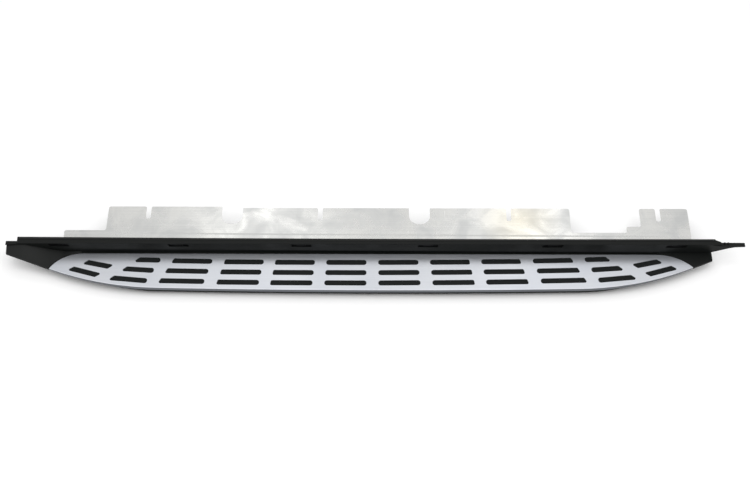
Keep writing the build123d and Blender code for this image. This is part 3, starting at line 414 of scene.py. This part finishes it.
# ---- Mounting sheet ------------------------------------------------------------------------------
# Two-millimetre aluminium straight from the rolling mill, folded and pierced but not finished. It
# keeps the mill's lines along its length, cloudy handling marks, fine scratches across the lines
# and one warm stain, and it mirrors the softboxes more sharply than the tread does.
def mill_aluminium():
    material, tree, shader = surface("mill_finish_aluminium", "#E4E4E1", 1.0, 0.28)
    place = add(tree, "ShaderNodeTexCoord", {}, {})
    # Rolling lines are a few tenths of a millimetre apart. They are drawn 3 mm apart.
    roll_scale = (1 / (350 * MM), 1 / (3 * MM), 1 / (3 * MM))
    stretched = add(tree, "ShaderNodeMapping", {"Scale": roll_scale}, {"Vector": place.outputs["Object"]})
    lines = add(tree, "ShaderNodeTexNoise", {"Scale": 1.0, "Detail": 3.0}, {"Vector": stretched.outputs[0]})
    smudges = add(tree, "ShaderNodeTexNoise", {"Scale": 1 / (70 * MM), "Detail": 6.0, "Distortion": 0.6},
                  {"Vector": place.outputs["Object"]})
    # Scratches are 40 mm long and run across the sheet at a shallow angle.
    scratch_scale = (1 / (2 * MM), 1 / (40 * MM), 1 / (40 * MM))
    turned = add(tree, "ShaderNodeMapping", {"Rotation": (0.0, 0.0, 0.5), "Scale": scratch_scale},
                 {"Vector": place.outputs["Object"]})
    marks = add(tree, "ShaderNodeTexNoise", {"Scale": 1.0, "Detail": 1.0}, {"Vector": turned.outputs[0]})
    scratches = add(tree, "ShaderNodeMapRange", {"From Min": 0.73, "From Max": 0.78},
                    {"Value": marks.outputs["Fac"]})
    patch = {"From Min": 0.36, "From Max": 0.68}
    handled = add(tree, "ShaderNodeMapRange", patch, {"Value": smudges.outputs["Fac"]})
    tone = add(tree, "ShaderNodeMix",
               {"data_type": "RGBA", MIX_A: linear("#EDEDEA"), MIX_B: linear("#D2D3D2")},
               {0: handled.outputs["Result"]})
    # The stain is centred 390 mm to the right of the middle and fades out over 120 mm.
    stain_at = Vector((0.39, 0.08, 0.07))
    away = add(tree, "ShaderNodeVectorMath", {"operation": "DISTANCE", 1: stain_at},
               {0: place.outputs["Object"]})
    stain = add(tree, "ShaderNodeMapRange",
                {"From Min": 0.0, "From Max": 0.12, "To Min": 0.6, "To Max": 0.0},
                {"Value": away.outputs["Value"]})
    warm = add(tree, "ShaderNodeMix", {"data_type": "RGBA", MIX_B: linear("#F1E9D2")},
               {0: stain.outputs["Result"], MIX_A: tone.outputs[MIX_COLOUR]})
    streak = add(tree, "ShaderNodeMapRange", {"To Min": 0.9, "To Max": 1.06},
                 {"Value": lines.outputs["Fac"]})
    rolled = add(tree, "ShaderNodeVectorMath", {"operation": "SCALE"},
                 {"Vector": warm.outputs[MIX_COLOUR], "Scale": streak.outputs["Result"]})
    tree.links.new(rolled.outputs["Vector"], shader.inputs["Base Color"])
    base_dull = add(tree, "ShaderNodeMapRange", {"To Min": 0.2, "To Max": 0.36},
                    {"Value": handled.outputs["Result"]})
    dull = add(tree, "ShaderNodeMath", {"operation": "MULTIPLY_ADD", 1: 0.2},
               {0: scratches.outputs["Result"], 2: base_dull.outputs["Result"]})
    tree.links.new(dull.outputs["Value"], shader.inputs["Roughness"])
    rise = add(tree, "ShaderNodeMath", {"operation": "MULTIPLY_ADD", 1: -0.6},
               {0: scratches.outputs["Result"], 2: lines.outputs["Fac"]})
    relief = add(tree, "ShaderNodeBump", {"Strength": 0.2, "Distance": 0.08 * MM},
                 {"Height": rise.outputs["Value"]})
    tree.links.new(relief.outputs["Normal"], shader.inputs["Normal"])
    return material


dress("mounting_sheet", mill_aluminium(), 0.3)


# ---- Support beam and brackets -------------------------------------------------------------------
# The beam is a hollow aluminium extrusion and the brackets are cut from extruded angle. Both keep
# the die's fine lines and a dull grey skin, with a brighter rub here and there.
def extruded_aluminium(name):
    material, tree, shader = surface(name, "#BFC1C3", 1.0, 0.42)
    place = add(tree, "ShaderNodeTexCoord", {}, {})
    # Die lines are drawn 1.5 mm apart and 200 mm long.
    die_scale = (1 / (200 * MM), 1 / (1.5 * MM), 1 / (1.5 * MM))
    stretched = add(tree, "ShaderNodeMapping", {"Scale": die_scale}, {"Vector": place.outputs["Object"]})
    lines = add(tree, "ShaderNodeTexNoise", {"Scale": 1.0, "Detail": 3.0}, {"Vector": stretched.outputs[0]})
    rubs = add(tree, "ShaderNodeTexNoise", {"Scale": 1 / (25 * MM), "Detail": 4.0},
               {"Vector": place.outputs["Object"]})
    tone = add(tree, "ShaderNodeMix",
               {"data_type": "RGBA", MIX_A: linear("#AEB0B3"), MIX_B: linear("#CDCFD0")},
               {0: rubs.outputs["Fac"]})
    tree.links.new(tone.outputs[MIX_COLOUR], shader.inputs["Base Color"])
    dull = add(tree, "ShaderNodeMapRange", {"To Min": 0.3, "To Max": 0.55}, {"Value": lines.outputs["Fac"]})
    tree.links.new(dull.outputs["Result"], shader.inputs["Roughness"])
    relief = add(tree, "ShaderNodeBump", {"Strength": 0.25, "Distance": 0.08 * MM},
                 {"Height": lines.outputs["Fac"]})
    tree.links.new(relief.outputs["Normal"], shader.inputs["Normal"])
    return material


dress("support_beam", extruded_aluminium("extruded_beam_aluminium"), 0.3)
bracket_material = extruded_aluminium("extruded_angle_aluminium")
brackets = [f"support_bracket_{number}" for number in range(1, 6)]
for bracket in brackets:
    dress(bracket, bracket_material, 0.2)


# ---- Bracket welds -------------------------------------------------------------------------------
# Each bracket's top leg is stitch-welded to the flange's underside, in short beads of overlapping
# drops down both of its sides. Fresh aluminium weld is bright, with a grey bloom between drops.
WELD_DROP_R = 1.9 * MM
WELD_DROP_STEP = 1.7 * MM
WELD_DROPS = 8
WELD_STITCHES = 2
WELD_FIRST = 6  # mm from the bracket's back to its first stitch
WELD_PITCH = 22  # mm from one stitch's start to the next one's
WELD_SINK = 0.7 * MM
WELD_FLATTENING = (1.0, 0.8, 0.75, 1.0)
FLANGE_THICKNESS = 2 * MM


def weld_metal():
    material, tree, shader = surface("aluminium_weld", "#C9CACB", 1.0, 0.36)
    place = add(tree, "ShaderNodeTexCoord", {}, {})
    soot = add(tree, "ShaderNodeTexNoise", {"Scale": 1 / (3 * MM), "Detail": 4.0},
               {"Vector": place.outputs["Object"]})
    tone = add(tree, "ShaderNodeMix",
               {"data_type": "RGBA", MIX_A: linear("#8F9091"), MIX_B: linear("#D8D9D9")},
               {0: soot.outputs["Fac"]})
    tree.links.new(tone.outputs[MIX_COLOUR], shader.inputs["Base Color"])
    return material


weld_shape = bmesh.new()
flange_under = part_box("mounting_sheet")[1].z - FLANGE_THICKNESS
for bracket in brackets:
    low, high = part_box(bracket)
    for side_x in (low.x, high.x):
        for stitch in range(WELD_STITCHES):
            start = high.y - (WELD_FIRST + WELD_PITCH * stitch) * MM
            for drop in range(WELD_DROPS):
                spot = Vector((side_x, start - drop * WELD_DROP_STEP, flange_under - WELD_SINK))
                flat = Matrix.Diagonal(WELD_FLATTENING)
                bmesh.ops.create_uvsphere(weld_shape, u_segments=10, v_segments=7, radius=WELD_DROP_R,
                                          matrix=Matrix.Translation(spot) @ flat)
for face in weld_shape.faces:
    face.smooth = True
close_up(weld_shape)
welds = linked("bracket_welds", weld_shape, weld_metal())
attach(welds, "root")


# ---- Bracket bolts and washers -------------------------------------------------------------------
# M8 hexagon bolts through bracket and web into the beam's threaded inserts, each over a plain
# washer. They are bright zinc plated, with turned-off corners and a faint iridescent film.
def bright_zinc():
    material, tree, shader = surface("bright_zinc_plate", "#C4C7CB", 1.0, 0.28)
    place = add(tree, "ShaderNodeTexCoord", {}, {})
    film = add(tree, "ShaderNodeTexNoise", {"Scale": 1 / (4 * MM), "Detail": 3.0},
               {"Vector": place.outputs["Object"]})
    tone = add(tree, "ShaderNodeMix",
               {"data_type": "RGBA", MIX_A: linear("#B6BCC6"), MIX_B: linear("#D3D0C4")},
               {0: film.outputs["Fac"]})
    tree.links.new(tone.outputs[MIX_COLOUR], shader.inputs["Base Color"])
    dull = add(tree, "ShaderNodeMapRange", {"To Min": 0.2, "To Max": 0.4}, {"Value": film.outputs["Fac"]})
    tree.links.new(dull.outputs["Result"], shader.inputs["Roughness"])
    return material


def solid_boxes(node):
    """Lowest and highest corner of each separate solid in a CAD node, from left to right."""
    shape = bmesh.new()
    shape.from_mesh(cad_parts[node].data)
    bmesh.ops.remove_doubles(shape, verts=shape.verts, dist=SEAM)
    boxes = []
    waiting = set(shape.verts)
    while waiting:
        group = [waiting.pop()]
        for vert in group:
            for edge in vert.link_edges:
                other = edge.other_vert(vert)
                if other in waiting:
                    waiting.remove(other)
                    group.append(other)
        low = Vector([min(vert.co[axis] for vert in group) for axis in range(3)])
        high = Vector([max(vert.co[axis] for vert in group) for axis in range(3)])
        boxes.append((low, high))
    shape.free()
    return sorted(boxes, key=lambda box: box[0].x)


def turned(shape, profile, steps=24):
    """A round piece turned about the Z axis from (radius, height) points in millimetres."""
    line = [shape.verts.new((radius * MM, 0.0, height * MM)) for radius, height in profile]
    edges = [shape.edges.new(pair) for pair in zip(line, line[1:])]
    bmesh.ops.spin(shape, geom=line + edges, cent=(0, 0, 0), axis=(0, 0, 1), dvec=(0, 0, 0),
                   angle=2 * math.pi, steps=steps, use_merge=True)


def hexagon(shape, radius, bottom, top, corner):
    """A hexagonal block whose corners are turned off, about the Z axis, in millimetres."""
    centre = Matrix.Translation((0, 0, (bottom + top) / 2 * MM))
    made = bmesh.ops.create_cone(shape, cap_ends=True, segments=6, radius1=radius * MM, radius2=radius * MM,
                                 depth=(top - bottom) * MM, matrix=centre)
    bmesh.ops.bevel(shape, geom=made["verts"], offset=corner * MM, affect="VERTICES", segments=2,
                    profile=0.5, material=-1)


def repeated(name, shape, matrices, material):
    """One object that holds a copy of a finished small piece at each matrix."""
    close_up(shape)
    master = bpy.data.meshes.new(name + "_one")
    shape.to_mesh(master)
    shape.free()
    together = bmesh.new()
    for matrix in matrices:
        start = len(together.verts)
        together.from_mesh(master)
        together.verts.ensure_lookup_table()
        bmesh.ops.transform(together, matrix=matrix, verts=together.verts[start:])
    bpy.data.meshes.remove(master)
    return linked(name, together, material)


def laid_back(boxes):
    """A place for each solid that lies along Y, with its foot at the solid's lowest Y."""
    turn = Matrix.Rotation(-math.pi / 2, 4, "X")
    return [
        Matrix.Translation(((low.x + high.x) / 2, low.y, (low.z + high.z) / 2)) @ turn
        for low, high in boxes
    ]


HEAD_HEIGHT = 5.3
HEAD_RADIUS = 7.45
HEAD_CORNER = 0.9
BOLT_RADIUS = 4.0
zinc = bright_zinc()
bolt_boxes = solid_boxes("bracket_bolts")
bolt_shape = bmesh.new()
bolt_low, bolt_high = bolt_boxes[0]
bolt_length = (bolt_high.y - bolt_low.y) / MM
under_head = bolt_length - HEAD_HEIGHT
hexagon(bolt_shape, HEAD_RADIUS, under_head, bolt_length, HEAD_CORNER)
turned(bolt_shape, [(0, 0), (3.2, 0), (BOLT_RADIUS, 0.9), (BOLT_RADIUS, under_head - 0.05), (0, under_head)])
bolts = repeated("hexagon_bolts", bolt_shape, laid_back(bolt_boxes), zinc)
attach(bolts, "root")
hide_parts("bracket_bolts")
dress("bracket_washers", zinc, 0.2)
dress("beam_rivet_nuts", zinc, 0.2)


# ---- Upstand rivets ------------------------------------------------------------------------------
# Zinc-plated blind rivets that hold the step body's upstand to the sheet. Each head is a low dome
# with the hollow where its mandrel broke off.
RIVET_HEAD_HEIGHT = 1.6
RIVET_FOOT = 0.8  # the body starts this far inside its hole
RIVET_RADIUS = 2.3
RIVET_HEAD_RADIUS = 4.95
rivet_boxes = solid_boxes("upstand_rivets")
rivet_low, rivet_high = rivet_boxes[0]
rivet_length = (rivet_high.y - rivet_low.y) / MM
rivet_head = rivet_length - RIVET_HEAD_HEIGHT
rivet_shape = bmesh.new()
turned(rivet_shape, [
    (0, RIVET_FOOT), (RIVET_RADIUS, RIVET_FOOT), (RIVET_RADIUS, rivet_head),
    (RIVET_HEAD_RADIUS, rivet_head), (RIVET_HEAD_RADIUS, rivet_head + 0.35), (4.4, rivet_head + 0.9),
    (3.0, rivet_length - 0.15), (1.5, rivet_length), (1.3, rivet_length - 0.1), (1.2, rivet_length - 0.9),
    (0, rivet_length - 0.7),
])
for face in rivet_shape.faces:
    face.smooth = face.calc_center_median().z > (rivet_head + 0.5) * MM
rivets = repeated("blind_rivets", rivet_shape, laid_back(rivet_boxes), zinc)
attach(rivets, "root")
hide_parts("upstand_rivets")


# ---- Tread studs and nuts ------------------------------------------------------------------------
# M5 studs are welded under the tread and pass through mat and deck. A zinc-plated nut draws each
# one down, and a few turns of its thread stand out below the nut.
THREAD_PITCH = 0.8
THREAD_STEPS = 16
THREAD_TURNS = 12
THREAD_TOOTH = ((1.95, 0.3), (2.45, 0.7), (1.95, 1.1))
STUD_RADIUS = 2.1
COLLAR_RADIUS = 2.45
stud_boxes = solid_boxes("tread_studs")
stud_low, stud_high = stud_boxes[0]
stud_length = (stud_high.z - stud_low.z) / MM
stud_shape = bmesh.new()
turned(stud_shape, [
    (0, 0), (1.7, 0), (STUD_RADIUS, 0.5), (STUD_RADIUS, stud_length - 3),
    (COLLAR_RADIUS, stud_length - 2.8), (COLLAR_RADIUS, stud_length), (0, stud_length),
], THREAD_STEPS)
tooth_verts = [stud_shape.verts.new((radius * MM, 0.0, height * MM)) for radius, height in THREAD_TOOTH]
tooth_edges = [stud_shape.edges.new((tooth_verts[i], tooth_verts[(i + 1) % 3])) for i in range(3)]
bmesh.ops.spin(stud_shape, geom=tooth_verts + tooth_edges, cent=(0, 0, 0), axis=(0, 0, 1),
               dvec=(0, 0, THREAD_PITCH / THREAD_STEPS * MM), angle=2 * math.pi * THREAD_TURNS,
               steps=THREAD_STEPS * THREAD_TURNS)
open_edges = [edge for edge in stud_shape.edges if edge.is_boundary]
bmesh.ops.holes_fill(stud_shape, edges=open_edges, sides=3)
stud_places = [
    Matrix.Translation(((low.x + high.x) / 2, (low.y + high.y) / 2, low.z))
    for low, high in stud_boxes
]
studs = repeated("threaded_studs", stud_shape, stud_places, zinc)
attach(studs, "root")
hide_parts("tread_studs")
dress("tread_nuts", zinc, 0.5)


# ---- Body screws and cap screws ------------------------------------------------------------------
# Black-plated screws: countersunk ones under the mats, and pan heads with a hexagon socket behind
# the end caps. Thin black plating over steel is dark, smooth and slightly metallic.
def black_plated_steel():
    material, tree, shader = surface("black_plated_steel", "#2B2B2D", 1.0, 0.38)
    place = add(tree, "ShaderNodeTexCoord", {}, {})
    film = add(tree, "ShaderNodeTexNoise", {"Scale": 1 / (2 * MM), "Detail": 2.0},
               {"Vector": place.outputs["Object"]})
    dull = add(tree, "ShaderNodeMapRange", {"To Min": 0.3, "To Max": 0.48}, {"Value": film.outputs["Fac"]})
    tree.links.new(dull.outputs["Result"], shader.inputs["Roughness"])
    return material


black_steel = black_plated_steel()
dress("body_screws", black_steel, 0.2)
screw_boxes = solid_boxes("cap_screws")
SOCKET_RADIUS = 1.7
SOCKET_DEPTH = 1.4
PAN_RADIUS = 4.35
PAN_HEIGHT = 2.5
SHANK_RADIUS = 1.95
for pair_name, boxes in (("left_cap_screws", screw_boxes[:2]), ("right_cap_screws", screw_boxes[2:])):
    length = (boxes[0][1].y - boxes[0][0].y) / MM
    seat = length - PAN_HEIGHT
    screw_shape = bmesh.new()
    turned(screw_shape, [
        (0, 0), (1.4, 0.2), (SHANK_RADIUS, 1.6), (SHANK_RADIUS, seat), (PAN_RADIUS, seat),
        (PAN_RADIUS, length - 1.1), (PAN_RADIUS - 0.4, length - 0.4), (PAN_RADIUS - 1.3, length),
    ])
    rim = [edge for edge in screw_shape.edges if edge.is_boundary]
    socket = bmesh.ops.create_circle(screw_shape, segments=6, radius=SOCKET_RADIUS * MM,
                                     matrix=Matrix.Translation((0, 0, length * MM)))
    socket_edges = list({edge for vert in socket["verts"] for edge in vert.link_edges})
    bmesh.ops.bridge_loops(screw_shape, edges=rim + socket_edges)
    deeper = bmesh.ops.extrude_edge_only(screw_shape, edges=socket_edges)["geom"]
    deep_verts = [part for part in deeper if isinstance(part, bmesh.types.BMVert)]
    deep_edges = [part for part in deeper if isinstance(part, bmesh.types.BMEdge) and part.is_boundary]
    bmesh.ops.translate(screw_shape, vec=(0, 0, -SOCKET_DEPTH * MM), verts=deep_verts)
    bmesh.ops.edgeloop_fill(screw_shape, edges=deep_edges)
    screws = repeated(pair_name, screw_shape, laid_back(boxes), black_steel)
    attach(screws, "root")
    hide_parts("cap_screws")
